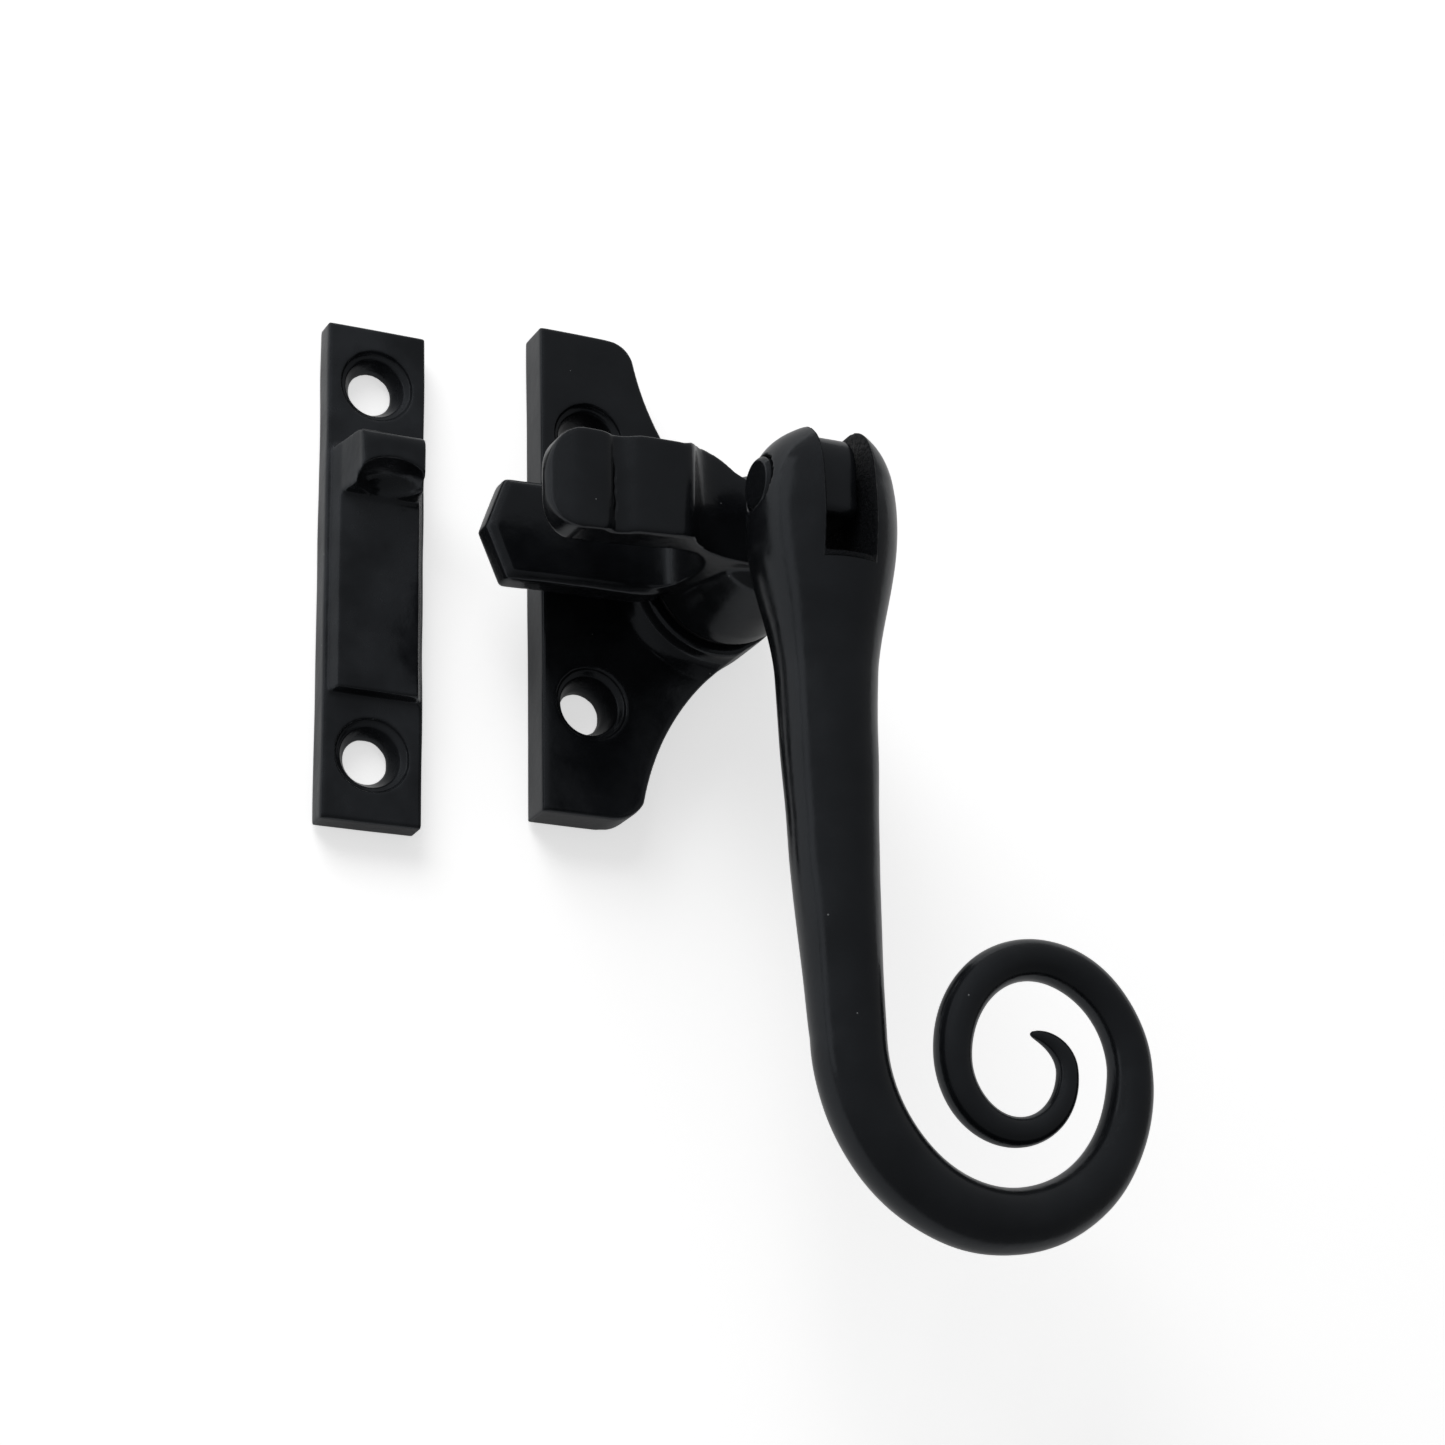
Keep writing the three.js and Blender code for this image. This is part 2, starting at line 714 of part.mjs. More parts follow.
/** The raised part from the room: straight sides, and rounded corners on top of the hook. */
function hookFace() {
  const { halfWidth, blockBottom, hookTop } = KEEP;
  const corner = 1.5;
  const shape = new THREE.Shape();
  shape.moveTo(-halfWidth, blockBottom);
  shape.lineTo(halfWidth, blockBottom);
  shape.lineTo(halfWidth, hookTop - corner);
  shape.quadraticCurveTo(halfWidth, hookTop, halfWidth - corner, hookTop);
  shape.lineTo(corner - halfWidth, hookTop);
  shape.quadraticCurveTo(-halfWidth, hookTop, -halfWidth, hookTop - corner);
  shape.closePath();
  return shape;
}

/** The hollow under the hook: an arch at its end that runs out towards the block. */
function hookScoop() {
  const { thickness, halfWidth, sideSlope, hookBottom, blockRise, hookRise, hookTaper, scoop } = KEEP;
  const hollow = new THREE.SphereGeometry(1, 36, 24);
  hollow.scale(halfWidth - sideSlope - hookTaper / 2, hookRise - blockRise - 0.4, scoop);
  hollow.translate(0, -thickness - hookRise, hookBottom);
  return solid(hollow);
}

function keepPlate() {
  const { width, height, thickness } = KEEP;
  const outline = new THREE.Shape();
  outline.moveTo(-width / 2, -height / 2);
  outline.lineTo(width / 2, -height / 2);
  outline.lineTo(width / 2, height / 2);
  outline.lineTo(-width / 2, height / 2);
  outline.closePath();
  return extrudeFlatBack(outline, thickness, PLATE.edgeRound);
}

function keep() {
  const { width, height, thickness, topHole, bottomHole, throat } = KEEP;
  const raised = extrudeAcross(hookProfile(), width)
    .intersect(extrudeUp(hookSides(), -height, height))
    .intersect(extrudeToRoom(hookFace(), 0, height));
  return cut(
    join(keepPlate(), raised),
    hookScoop(),
    screwHole(0, topHole, -thickness, throat),
    screwHole(0, bottomHole, -thickness, throat),
  );
}

// ---------------------------------------------------------------- assembly

const fibre = new THREE.MeshStandardMaterial({ color: 0x202022, roughness: 0.6 });

const fastener = new THREE.Group();
fastener.position.x = -SCREW_HOLE.x;

const keepMesh = part('keep', keep(), paint(0.28));
keepMesh.position.set(KEEP.x, 0, KEEP.z);

fastener.add(
  part('base_plate', basePlate(), paint(0.25)),
  part('thrust_washer', thrustWasher(), fibre),
  part('spring_washer', springWasher(), steel()),
  part('back_washer', backWasher(), steel()),
  part('spindle', spindle(), steel()),
  part('latch_claw', latch(), paint(0.22)),
  part('handle_pin', handlePin(), paint(0.3)),
  part('handle', handle(), paint(0.2)),
  keepMesh,
);

export default fastener;
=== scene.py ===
"""Looks of a black casement window fastener with a curled handle, and of the hook plate it closes on.

Lengths are given in millimetres and scaled by MM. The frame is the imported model's: the flat back of the base
plate is y = 0, the room is at -Y, +Z is up and the hook plate stands at -X.
"""

import math

import bmesh
import bpy
import numpy as np
from mathutils import Matrix, Vector


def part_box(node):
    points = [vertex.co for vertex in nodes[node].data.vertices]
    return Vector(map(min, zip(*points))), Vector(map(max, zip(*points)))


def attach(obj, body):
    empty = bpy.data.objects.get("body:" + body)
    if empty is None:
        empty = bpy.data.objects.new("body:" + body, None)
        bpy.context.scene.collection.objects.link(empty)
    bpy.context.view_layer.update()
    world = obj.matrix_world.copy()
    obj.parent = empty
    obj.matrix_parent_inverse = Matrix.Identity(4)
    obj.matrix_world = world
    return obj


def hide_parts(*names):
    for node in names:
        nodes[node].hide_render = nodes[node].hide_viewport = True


MM = 0.001
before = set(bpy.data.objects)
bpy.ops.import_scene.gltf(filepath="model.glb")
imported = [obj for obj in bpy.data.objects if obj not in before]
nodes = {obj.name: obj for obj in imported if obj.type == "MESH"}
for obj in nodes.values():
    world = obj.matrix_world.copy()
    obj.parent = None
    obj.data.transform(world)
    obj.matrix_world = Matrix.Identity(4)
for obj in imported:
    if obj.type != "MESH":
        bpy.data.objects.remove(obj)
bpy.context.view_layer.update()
scene = bpy.context.scene


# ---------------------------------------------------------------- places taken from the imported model

pin_low, pin_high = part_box("handle_pin")
PIN_Y = (pin_low.y + pin_high.y) / 2 / MM
spindle_low, spindle_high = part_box("spindle")
AXIS_X = (spindle_low.x + spindle_high.x) / 2 / MM


# ---------------------------------------------------------------- materials

def material(name):
    """An empty node material, its node tree and its Principled shader."""
    made = bpy.data.materials.new(name)
    made.use_nodes = True
    tree = made.node_tree
    return made, tree, tree.nodes["Principled BSDF"]


def object_coords(tree):
    return tree.nodes.new("ShaderNodeTexCoord").outputs["Object"]


def noise(tree, coords, size, detail=3.0, roughness=0.5):
    """Noise whose features are about size millimetres across."""
    node = tree.nodes.new("ShaderNodeTexNoise")
    node.inputs["Scale"].default_value = 1 / (size * MM)
    node.inputs["Detail"].default_value = detail
    node.inputs["Roughness"].default_value = roughness
    tree.links.new(coords, node.inputs["Vector"])
    return node.outputs["Fac"]


def map_range(tree, value, low, high, to_low=0.0, to_high=1.0):
    node = tree.nodes.new("ShaderNodeMapRange")
    node.inputs["From Min"].default_value = low
    node.inputs["From Max"].default_value = high
    node.inputs["To Min"].default_value = to_low
    node.inputs["To Max"].default_value = to_high
    tree.links.new(value, node.inputs["Value"])
    return node.outputs["Result"]


def mix_colour(tree, factor, first, second):
    node = tree.nodes.new("ShaderNodeMix")
    node.data_type = "RGBA"
    tree.links.new(factor, node.inputs["Factor"])
    for socket, colour in ((node.inputs["A"], first), (node.inputs["B"], second)):
        if isinstance(colour, tuple):
            socket.default_value = (*colour, 1)
        else:
            tree.links.new(colour, socket)
    return node.outputs["Result"]


def math_node(tree, operation, first, second):
    node = tree.nodes.new("ShaderNodeMath")
    node.operation = operation
    for socket, value in zip(node.inputs, (first, second)):
        if isinstance(value, (int, float)):
            socket.default_value = value
        else:
            tree.links.new(value, socket)
    return node.outputs["Value"]


def bump(tree, height, depth, strength=1.0, under=None):
    """Bumps of depth millimetres, on top of the normal given by under."""
    node = tree.nodes.new("ShaderNodeBump")
    node.inputs["Strength"].default_value = strength
    node.inputs["Distance"].default_value = depth * MM
    tree.links.new(height, node.inputs["Height"])
    if under is not None:
        tree.links.new(under, node.inputs["Normal"])
    return node.outputs["Normal"]


def specks(tree, coords, size, share):
    """1 on small round specks size millimetres apart, of which only a share is there; 0 elsewhere."""
    cells = tree.nodes.new("ShaderNodeTexVoronoi")
    cells.inputs["Scale"].default_value = 1 / (size * MM)
    tree.links.new(coords, cells.inputs["Vector"])
    split = tree.nodes.new("ShaderNodeSeparateColor")
    tree.links.new(cells.outputs["Color"], split.inputs["Color"])
    outer, inner = 0.05, 0.035  # radii of the blurred rim, in spacings
    near = map_range(tree, cells.outputs["Distance"], outer, inner)
    chosen = math_node(tree, "LESS_THAN", split.outputs["Red"], share)
    return math_node(tree, "MULTIPLY", near, chosen)


def within(tree, coordinate, low, high, edge=0.15):
    """1 where a coordinate, in millimetres, is between low and high; 0 outside."""
    above = map_range(tree, coordinate, (low - edge) * MM, low * MM)
    below = map_range(tree, coordinate, (high + edge) * MM, high * MM)
    return math_node(tree, "MULTIPLY", above, below)


DARK_PAINT = (0.0042, 0.0047, 0.0056)
PALE_PAINT = (0.0078, 0.0086, 0.0100)
MOTTLED_PAINT = (0.016, 0.0175, 0.020)
DUST = (0.16, 0.165, 0.17)
FILM_TINT = (0.86, 0.92, 1.0, 1)
FILM_IOR = 1.5
FULL_SHINE = 0.5  # the shader's own middle value

# Sizes on the painted surface, in millimetres.
TONE_SIZE = 7
STREAK_SIZE = 3.5
WAVE_SIZE = 13
PEEL_SIZE = 1.1
DUST_SPACING = 2.6
DUST_HEIGHT = 0.03
DUST_SHARE = 0.12  # of the places that could hold a speck


def gloss_paint(name, wave=0.5, peel=0.02, rough=(0.16, 0.26), pale=PALE_PAINT, feature=None):
    """Gloss black paint over a hand-finished casting: slow waves, fine orange peel and a little dust.

    wave and peel are bump depths in millimetres. feature(tree, coords) may add one local feature. It returns
    the feature's mask and height, how deep it is in millimetres, how much rougher it makes the film and how
    much of the shine it leaves.
    """
    made, tree, shader = material(name)
    coords = object_coords(tree)
    dust = specks(tree, coords, DUST_SPACING, DUST_SHARE)
    tone = map_range(tree, noise(tree, coords, TONE_SIZE), 0.35, 0.65)
    body = mix_colour(tree, tone, DARK_PAINT, pale)
    streaks = map_range(tree, noise(tree, coords, STREAK_SIZE, 4), 0.3, 0.7, *rough)
    normal = bump(tree, noise(tree, coords, WAVE_SIZE, 1), wave)
    normal = bump(tree, noise(tree, coords, PEEL_SIZE, 2), peel, under=normal)
    normal = bump(tree, dust, DUST_HEIGHT, under=normal)
    if feature:
        mask, height, depth, matt, shine = feature(tree, coords)
        normal = bump(tree, math_node(tree, "MULTIPLY", mask, height), depth, under=normal)
        streaks = math_node(tree, "ADD", streaks, math_node(tree, "MULTIPLY", mask, matt))
        level = map_range(tree, mask, 0, 1, FULL_SHINE, FULL_SHINE * shine)
        tree.links.new(level, shader.inputs["Specular IOR Level"])
    tree.links.new(mix_colour(tree, dust, body, DUST), shader.inputs["Base Color"])
    tree.links.new(streaks, shader.inputs["Roughness"])
    tree.links.new(normal, shader.inputs["Normal"])
    shader.inputs["IOR"].default_value = FILM_IOR
    shader.inputs["Specular Tint"].default_value = FILM_TINT
    return made


def split_axes(tree, coords):
    node = tree.nodes.new("ShaderNodeSeparateXYZ")
    tree.links.new(coords, node.inputs["Vector"])
    return node.outputs["X"], node.outputs["Y"], node.outputs["Z"]


def rough_slot(tree, coords):
    """The faces inside the handle's fork are left as cast."""
    half_width = 3.25
    lowest, highest = -11, 20
    grain = noise(tree, coords, 0.5, 3, 0.8)
    depth, matt, shine = 0.8, 0.15, 0.35
    x, _, z = split_axes(tree, coords)
    inside = within(tree, x, AXIS_X - half_width, AXIS_X + half_width)
    mask = math_node(tree, "MULTIPLY", inside, within(tree, z, lowest, highest))
    return mask, grain, depth, matt, shine


def claw_crease(tree, coords):
    """A fine crease in the paint runs down the hollow between the front claw's two swells."""
    left, right, edge = AXIS_X - 23.2, AXIS_X - 23.1, 0.25
    level = noise(tree, coords, 50)
    depth, matt, shine = -0.5, 0.0, 1.0
    x, y, z = split_axes(tree, coords)
    wander = map_range(tree, noise(tree, coords, 3, 2), 0, 1, -0.5 * MM, 0.5 * MM)
    line = within(tree, math_node(tree, "ADD", x, wander), left, right, edge)
    on_front = within(tree, y, -40, -28)
    at_middle = within(tree, z, -2, 1, 2.5)
    mask = math_node(tree, "MULTIPLY", line, math_node(tree, "MULTIPLY", on_front, at_middle))
    return mask, level, depth, matt, shine


RING_SCALE = 900  # rings about 0.35 mm apart


def turned_steel(name, colour, rough):
    """Plain steel with the fine rings of turning about the spindle axis."""
    made, tree, shader = material(name)
    coords = object_coords(tree)
    shift = tree.nodes.new("ShaderNodeMapping")
    shift.inputs["Location"].default_value = (-AXIS_X * MM, 0, 0)
    tree.links.new(coords, shift.inputs["Vector"])
    rings = tree.nodes.new("ShaderNodeTexWave")
    rings.wave_type = "RINGS"
    rings.rings_direction = "Y"
    rings.inputs["Scale"].default_value = RING_SCALE
    rings.inputs["Distortion"].default_value = 0.6
    tree.links.new(shift.outputs["Vector"], rings.inputs["Vector"])
    stain = map_range(tree, noise(tree, coords, 3, 4), 0.35, 0.7)
    dark = tuple(0.45 * channel for channel in colour)
    tree.links.new(mix_colour(tree, stain, colour, dark), shader.inputs["Base Color"])
    tree.links.new(map_range(tree, stain, 0, 1, rough, rough + 0.2), shader.inputs["Roughness"])
    shader.inputs["Metallic"].default_value = 1
    tree.links.new(bump(tree, rings.outputs["Fac"], 0.01), shader.inputs["Normal"])
    return made


black = gloss_paint("black_gloss_paint")
creased_black = gloss_paint("black_gloss_paint_creased", feature=claw_crease)
rough_black = gloss_paint("black_gloss_paint_rough_slot", feature=rough_slot)
mottled_black = gloss_paint(
    "black_mottled_paint",
    wave=1.1,
    peel=0.03,
    rough=(0.14, 0.28),
    pale=MOTTLED_PAINT,
)
steel = turned_steel("turned_steel", (0.42, 0.42, 0.43), 0.28)
dark_steel = turned_steel("dark_washer", (0.03, 0.03, 0.032), 0.45)


def dress(obj, look):
    obj.data.materials.clear()
    obj.data.materials.append(look)


# ---------------------------------------------------------------- meshes and the casting surface

def mesh_object(name, vertices, faces):
    mesh = bpy.data.meshes.new(name)
    mesh.from_pydata([tuple(v) for v in vertices], [], faces)
    shape = bmesh.new()
    shape.from_mesh(mesh)
    bmesh.ops.recalc_face_normals(shape, faces=shape.faces)
    shape.to_mesh(mesh)
    shape.free()
    made = bpy.data.objects.new(name, mesh)
    scene.collection.objects.link(made)
    return made


WAVE_LENGTH = 9  # of the slow waves in a casting's surface
PAINTED_VOXEL = 0.2
SMALL_VOXEL = 0.12


def soften(obj, voxel, passes, wave=0.0):
    """Evens the mesh out, rounds its edges and inner corners as thick paint does, and adds slow waves."""
    even = obj.modifiers.new("even_mesh", "REMESH")
    even.mode = "VOXEL"
    even.voxel_size = voxel * MM
    even.use_smooth_shade = True
    soft = obj.modifiers.new("soft_edges", "SMOOTH")
    soft.factor = 0.5
    soft.iterations = passes
    if wave:
        clouds = bpy.data.textures.new(obj.name + "_waves", "CLOUDS")
        clouds.noise_scale = WAVE_LENGTH * MM
        clouds.noise_depth = 0
        move = obj.modifiers.new("waves", "DISPLACE")
        move.texture = clouds
        move.texture_coords = "LOCAL"
        move.strength = wave * MM
        move.mid_level = 0.5


# ---------------------------------------------------------------- handle

# The handle is drawn from the same driving dimensions as its CAD solid, only finer. Heights are above the
# pin's axis, and places across are to the right of the spindle's.
HEAD_TOP = 7.5
HEAD_WIDEST_Z = -4
HEAD_RADIUS = 8.9
HEAD_DOME = 2.5  # power of the superellipse over the top
CHEEK_RADIUS = 8.7  # the cheeks of the fork are round about the pin
SLOT_HALF_WIDTH = 3.1
SLOT_FLOOR = -10.4
PIN_HOLE = 3.35
NECK_Z, NECK_RADIUS = -23, 6
FOOT_Z, FOOT_RADIUS = -65.4, 4.3
SHAFT_X = (0.2, 0.4, -0.3, 1.4)  # Bezier control points of the shaft's slight bow, from its top to its foot
QUARTERS = 7
SCROLL_HALF_WIDTH = 18.2
SCROLL_SHRINK = 0.64
SCROLL_TALLNESS = 1.05
SCROLL_SAG = 0.02
SCROLL_TUCK = 0.81  # the last quarter's height is this much of the others' rule
INNER_RADIUS, TIP_RADIUS = 2.6, 1.3
SCROLL_EASE = 1.75
SMALLEST_RADIUS = 0.6
TIP_ROUNDING = 0.98  # just under 1, so that the tip ends in a small face
SHAFT_ROWS = 190
QUARTER_ROWS = 60
BAR_SIDES = 96


def shaft_radius(z):
    """A squarish dome over the head, a neck, and a straight taper down to the foot."""
    rise = np.clip((z - HEAD_WIDEST_Z) / (HEAD_TOP - HEAD_WIDEST_Z), 0, 1)
    dome = HEAD_RADIUS * (1 - rise ** HEAD_DOME) ** (1 / HEAD_DOME)
    taper = FOOT_RADIUS + (NECK_RADIUS - FOOT_RADIUS) * (z - FOOT_Z) / (NECK_Z - FOOT_Z)
    swell = np.clip((z - NECK_Z) / (HEAD_WIDEST_Z - NECK_Z), 0, 1)
    swell = swell ** 2 * (3 - 2 * swell)
    below = taper + (HEAD_RADIUS - taper) * swell
    return np.maximum(np.where(z > HEAD_WIDEST_Z, dome, below), SMALLEST_RADIUS)


def scroll_radius(turned):
    """The bar thins over the first half turn, then towards the tip, which is rounded off."""
    last = QUARTERS - 1
    first = FOOT_RADIUS + (INNER_RADIUS - FOOT_RADIUS) * np.clip(turned / 2, 0, 1) ** SCROLL_EASE
    later = np.clip((turned - 2) / (last - 2), 0, 1) ** SCROLL_EASE
    middle = INNER_RADIUS + (TIP_RADIUS - INNER_RADIUS) * later
    tip = TIP_RADIUS * np.sqrt(1 - TIP_ROUNDING * np.clip(turned - last, 0, 1) ** 2)
    return np.where(turned <= 2, first, np.where(turned <= last, middle, tip))


def shaft_line(count):
    """Centres in X and Z, radii across and in depth, from the top of the head to the foot of the shaft."""
    along = np.linspace(0, 1, count)
    z = HEAD_TOP + (FOOT_Z - HEAD_TOP) * along
    weights = [math.comb(3, k) * along ** k * (1 - along) ** (3 - k) for k in range(4)]
    x = sum(weight * control for weight, control in zip(weights, SHAFT_X))
    radius = shaft_radius(z)
    cheek = np.sqrt(np.clip(CHEEK_RADIUS ** 2 - z ** 2, 0, None))
    return np.stack([x, z], 1), radius, np.maximum(radius, cheek)


def scroll_line(count):
    """The same for the quarter ellipses that wind in from the foot of the shaft to the tip."""
    centres, radii = [], []
    corner = np.array([SHAFT_X[-1], FOOT_Z])
    along = np.linspace(0, 1, count + 1)[1:]
    for quarter in range(QUARTERS):
        half = SCROLL_HALF_WIDTH * SCROLL_SHRINK ** (quarter // 2)
        sag = SCROLL_SAG if quarter % 4 in (0, 3) else -SCROLL_SAG
        tuck = SCROLL_TUCK if quarter == QUARTERS - 1 else 1
        half_size = np.array([half, half * SCROLL_TALLNESS * (1 + sag) * tuck])
        start = (quarter % 4) * math.pi / 2 + math.pi
        middle = corner - half_size * (math.cos(start), math.sin(start))
        angle = start + along * math.pi / 2
        centres.append(middle + np.stack([np.cos(angle), np.sin(angle)], 1) * half_size)
        radii.append(scroll_radius(quarter + along))
        corner = centres[-1][-1]
    return np.concatenate(centres), np.concatenate(radii)


def swept_bar(name, centres, radii, depths, sides):
    """A bar of round or oval section whose centre line lies in the plane of the handle."""
    step = np.gradient(centres, axis=0)
    tangent = step / np.linalg.norm(step, axis=1)[:, None]
    angle = np.arange(sides) * 2 * math.pi / sides
    across = np.cos(angle)[None] * radii[:, None]
    depth = np.sin(angle)[None] * depths[:, None]
    x = AXIS_X + centres[:, :1] - tangent[:, 1:] * across
    z = centres[:, 1:] + tangent[:, :1] * across
    vertices = np.stack([x, PIN_Y + depth, z], 2).reshape(-1, 3) * MM
    faces = []
    for row in range(len(centres) - 1):
        for side in range(sides):
            a, b = row * sides + side, row * sides + (side + 1) % sides
            faces.append((a, b, b + sides, a + sides))
    faces.append(tuple(range(sides)))
    faces.append(tuple(range(len(vertices) - 1, len(vertices) - 1 - sides, -1)))
    return mesh_object(name, vertices, faces)


def cutter_box(low, high):
    corners = [(x, y, z) for x in (low[0], high[0]) for y in (low[1], high[1]) for z in (low[2], high[2])]
    faces = [(0, 1, 3, 2), (4, 6, 7, 5), (0, 4, 5, 1), (2, 3, 7, 6), (0, 2, 6, 4), (1, 5, 7, 3)]
    return mesh_object("cutter_box", np.array(corners) * MM, faces)


def cutter_bar_across(radius, half_length, sides=BAR_SIDES):
    """A bar along X on the axis of the handle's pin."""
    angle = np.arange(sides) * 2 * math.pi / sides
    ring = np.stack([np.zeros(sides), PIN_Y + radius * np.cos(angle), radius * np.sin(angle)], 1)
    shift = np.array([half_length, 0, 0])
    middle = np.array([AXIS_X, 0, 0])
    vertices = np.concatenate([ring + middle - shift, ring + middle + shift]) * MM
    faces = [(k, (k + 1) % sides, (k + 1) % sides + sides, k + sides) for k in range(sides)]
    faces += [tuple(range(sides)), tuple(range(2 * sides - 1, sides - 1, -1))]
    return mesh_object("cutter_bar", vertices, faces)


def carve(target, cutter):
    """Cuts cutter out of target for good, and removes cutter."""
    cut = target.modifiers.new("cut", "BOOLEAN")
    cut.operation = "DIFFERENCE"
    cut.solver = "EXACT"
    cut.object = cutter
    bpy.context.view_layer.update()
    result = bpy.data.meshes.new_from_object(target.evaluated_get(bpy.context.evaluated_depsgraph_get()))
    target.modifiers.clear()
    target.data = result
    bpy.data.objects.remove(cutter)


def make_handle():
    shaft, shaft_radii, shaft_depths = shaft_line(SHAFT_ROWS)
    scroll, scroll_radii = scroll_line(QUARTER_ROWS)
    handle = swept_bar(
        "curled_handle",
        np.concatenate([shaft, scroll]),
        np.concatenate([shaft_radii, scroll_radii]),
        np.concatenate([shaft_depths, scroll_radii]),
        BAR_SIDES,
    )
    reach = 12  # past the head on every side
    carve(handle, cutter_box(
        (AXIS_X - SLOT_HALF_WIDTH, PIN_Y - reach, SLOT_FLOOR),
        (AXIS_X + SLOT_HALF_WIDTH, PIN_Y + reach, reach),
    ))
    carve(handle, cutter_bar_across(PIN_HOLE, reach))
    soften(handle, PAINTED_VOXEL, passes=10, wave=0.18)
    dress(handle, rough_black)
    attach(handle, "lever")
    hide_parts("handle")


make_handle()


# ---------------------------------------------------------------- the other pieces

for name, look, passes, wave in (
    ("base_plate", black, 14, 0.1),
    ("latch_claw", creased_black, 30, 0.14),
    ("keep", mottled_black, 12, 0.16),
):
    soften(nodes[name], PAINTED_VOXEL, passes, wave)
    dress(nodes[name], look)
for name, look, slot in (
    ("handle_pin", black, "black_paint"),
    ("thrust_washer", dark_steel, "dark_washer"),
    ("spring_washer", steel, "plain_steel"),
    ("back_washer", steel, "plain_steel"),
    ("spindle", steel, "plain_steel"),
):
    soften(nodes[name], SMALL_VOXEL, passes=4)
    dress(nodes[name], look)


# ---------------------------------------------------------------- studio

WALL_Y = 0.6  # the pale wall stands just clear of both flat backs
HALF_WALL = 1500
WALL_GLOW = 0.1  # what it lends the object
WALL_WHITE = 0.62  # what the camera sees on top of the light that falls on it
TENT_BELOW, TENT_ABOVE = 0.15, 0.3  # how bright the tent is at its two ends
MIDDLE = (15, -20, -25)
ABOVE_LEFT = (-480, -560, 700)


def make_wall():
    """A pale wall that can't be seen from behind, so that it never hides the back of the fastener."""
    signs = ((-1, -1), (1, -1), (1, 1), (-1, 1))
    corners = [(x * HALF_WALL * MM, WALL_Y * MM, z * HALF_WALL * MM) for x, z in signs]
    wall = mesh_object("wall", corners, [(0, 1, 2, 3)])
    made, tree, shader = material("pale_wall")
    shader.inputs["Base Color"].default_value = (0.86, 0.86, 0.86, 1)
    shader.inputs["Roughness"].default_value = 0.9
    coords = object_coords(tree)
    tree.links.new(bump(tree, noise(tree, coords, 1.5), 0.01), shader.inputs["Normal"])
    glow = tree.nodes.new("ShaderNodeEmission")
    seen = tree.nodes.new("ShaderNodeLightPath").outputs["Is Camera Ray"]
    tree.links.new(map_range(tree, seen, 0, 1, WALL_GLOW, WALL_WHITE), glow.inputs["Strength"])
    lit = tree.nodes.new("ShaderNodeAddShader")
    tree.links.new(shader.outputs["BSDF"], lit.inputs[0])
    tree.links.new(glow.outputs["Emission"], lit.inputs[1])
    clear = tree.nodes.new("ShaderNodeBsdfTransparent")
    side = tree.nodes.new("ShaderNodeMixShader")
    tree.links.new(tree.nodes.new("ShaderNodeNewGeometry").outputs["Backfacing"], side.inputs["Fac"])
    tree.links.new(lit.outputs["Shader"], side.inputs[1])
    tree.links.new(clear.outputs["BSDF"], side.inputs[2])
    tree.links.new(side.outputs["Shader"], tree.nodes["Material Output"].inputs["Surface"])
    wall.data.materials.append(made)


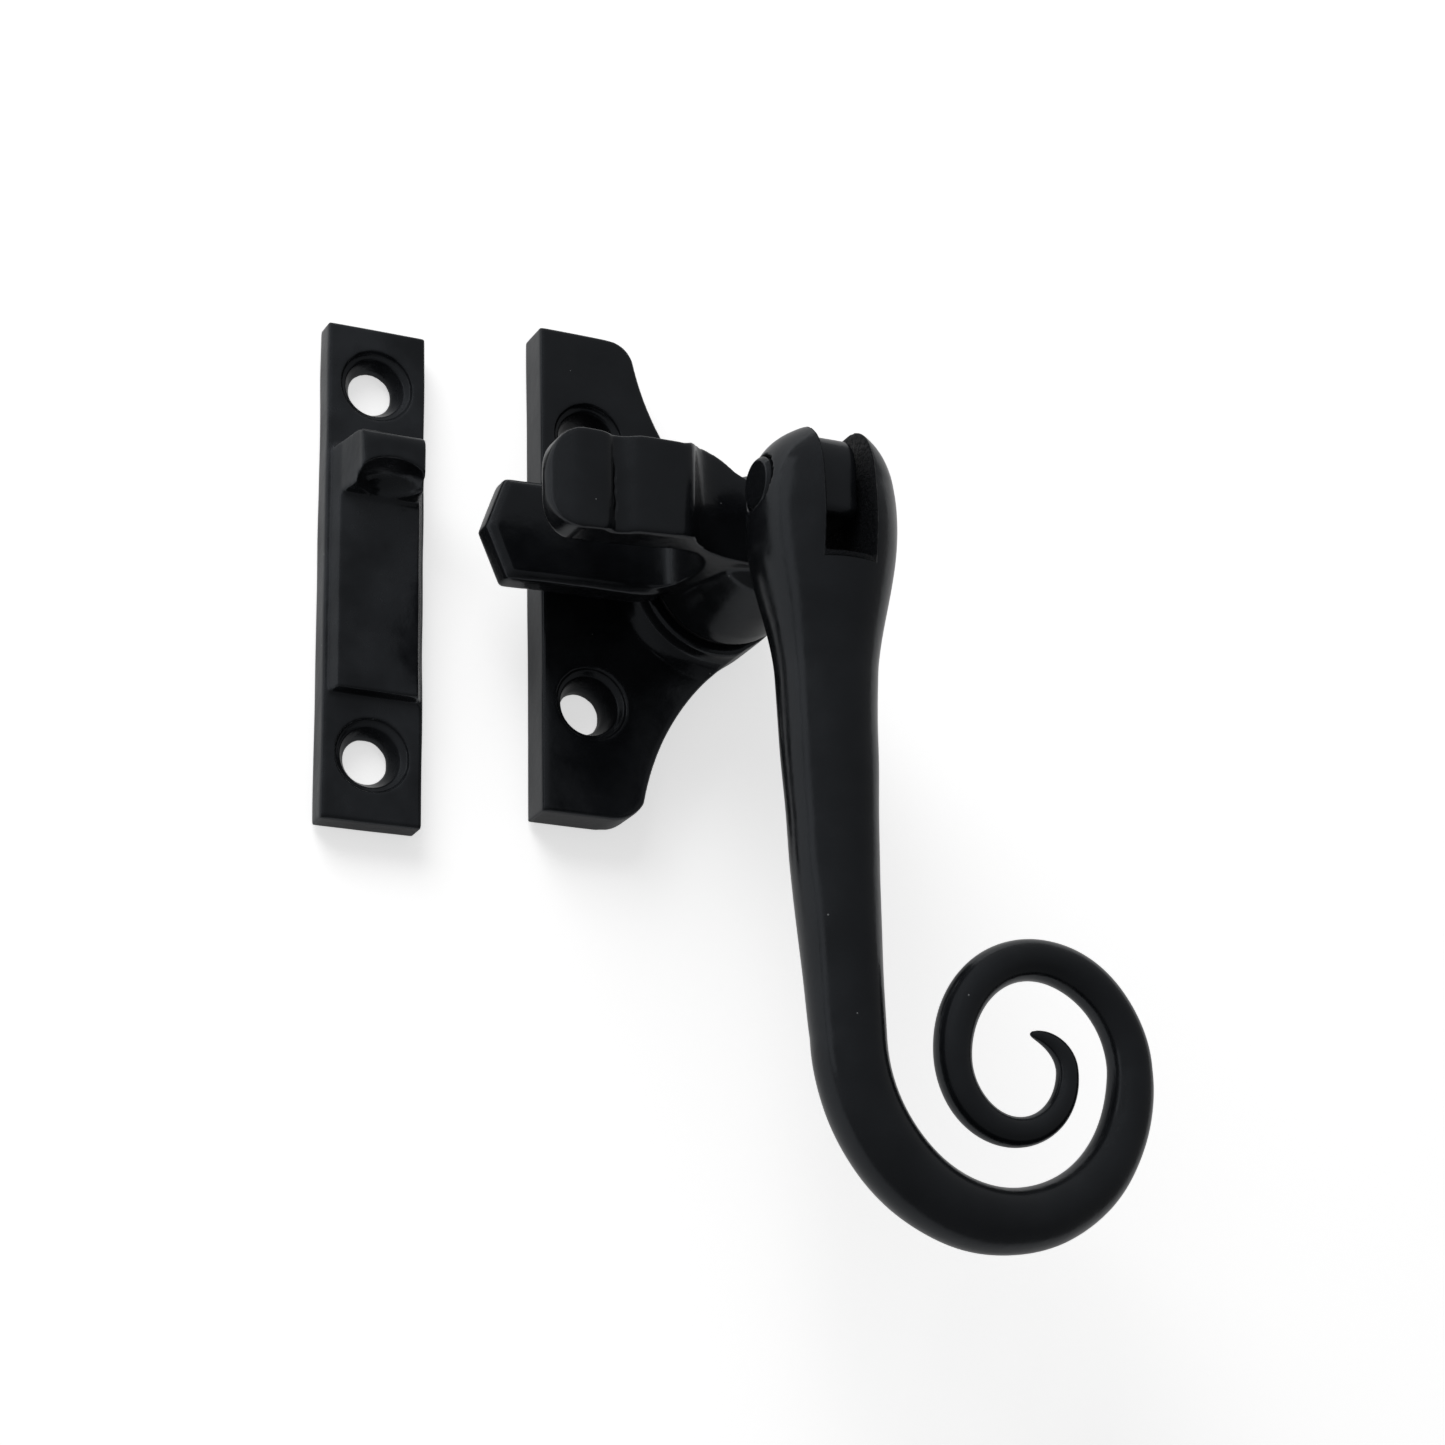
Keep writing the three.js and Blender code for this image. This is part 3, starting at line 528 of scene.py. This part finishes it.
def make_world():
    """Pale grey to the camera; to everything else a soft tent that is brighter above and to the left."""
    world = bpy.data.worlds.new("tent")
    world.use_nodes = True
    scene.world = world
    tree = world.node_tree
    background = tree.nodes["Background"]
    toward = tree.nodes.new("ShaderNodeVectorMath")
    toward.operation = "DOT_PRODUCT"
    toward.inputs[1].default_value = Vector((-0.45, -0.2, 0.87)).normalized()
    tree.links.new(tree.nodes.new("ShaderNodeTexCoord").outputs["Generated"], toward.inputs[0])
    shade = map_range(tree, toward.outputs["Value"], -0.6, 1, TENT_BELOW, TENT_ABOVE)
    path = tree.nodes.new("ShaderNodeLightPath")
    backdrop = tree.nodes.new("ShaderNodeBackground")
    backdrop.inputs["Strength"].default_value = 1
    choose = tree.nodes.new("ShaderNodeMixShader")
    tree.links.new(shade, background.inputs["Strength"])
    background.inputs["Color"].default_value = (1, 1, 1, 1)
    tree.links.new(path.outputs["Is Camera Ray"], choose.inputs["Fac"])
    tree.links.new(background.outputs["Background"], choose.inputs[1])
    tree.links.new(backdrop.outputs["Background"], choose.inputs[2])
    tree.links.new(choose.outputs["Shader"], tree.nodes["World Output"].inputs["Surface"])


def softbox(name, place, size, watts, mirrored=True):
    """A soft light of (width, height) at place, turned to MIDDLE. Gloss shows it if mirrored."""
    data = bpy.data.lights.new(name, "AREA")
    data.shape = "RECTANGLE"
    data.size, data.size_y = size[0] * MM, size[1] * MM
    data.energy = watts
    made = bpy.data.objects.new(name, data)
    scene.collection.objects.link(made)
    made.location = Vector(place) * MM
    made.rotation_euler = (Vector(place) - Vector(MIDDLE)).to_track_quat("Z", "Y").to_euler()
    made.visible_glossy = mirrored


make_wall()
make_world()
softbox("soft_fill", ABOVE_LEFT, (700, 700), 5, mirrored=False)
softbox("key_above_left", ABOVE_LEFT, (400, 520), 1.3)
softbox("strip_left", (-817, -169, 280), (240, 900), 0.28)


# ---------------------------------------------------------------- camera

AIM = Vector((21.5, 3.0, -14.5)) * MM
DISTANCE = 428.5 * MM
AZIMUTH, ELEVATION, ROLL = (math.radians(angle) for angle in (-25.81, -19.78, -1.42))


def make_camera():
    """Stands to the left of the plate's normal and below it."""
    back = Vector((
        math.sin(AZIMUTH) * math.cos(ELEVATION),
        -math.cos(AZIMUTH) * math.cos(ELEVATION),
        math.sin(ELEVATION),
    ))
    level = Vector((math.cos(AZIMUTH), math.sin(AZIMUTH), 0))
    up = back.cross(level)
    right = level * math.cos(ROLL) + up * math.sin(ROLL)
    up = up * math.cos(ROLL) - level * math.sin(ROLL)
    data = bpy.data.cameras.new("camera")
    data.sensor_width = 36
    data.lens = 84.4
    data.clip_start = 0.01
    camera = bpy.data.objects.new("camera", data)
    scene.collection.objects.link(camera)
    turn = Matrix((right, up, back)).transposed().to_4x4()
    camera.matrix_world = Matrix.Translation(AIM + back * DISTANCE) @ turn
    scene.camera = camera


make_camera()
scene.view_settings.view_transform = "Standard"
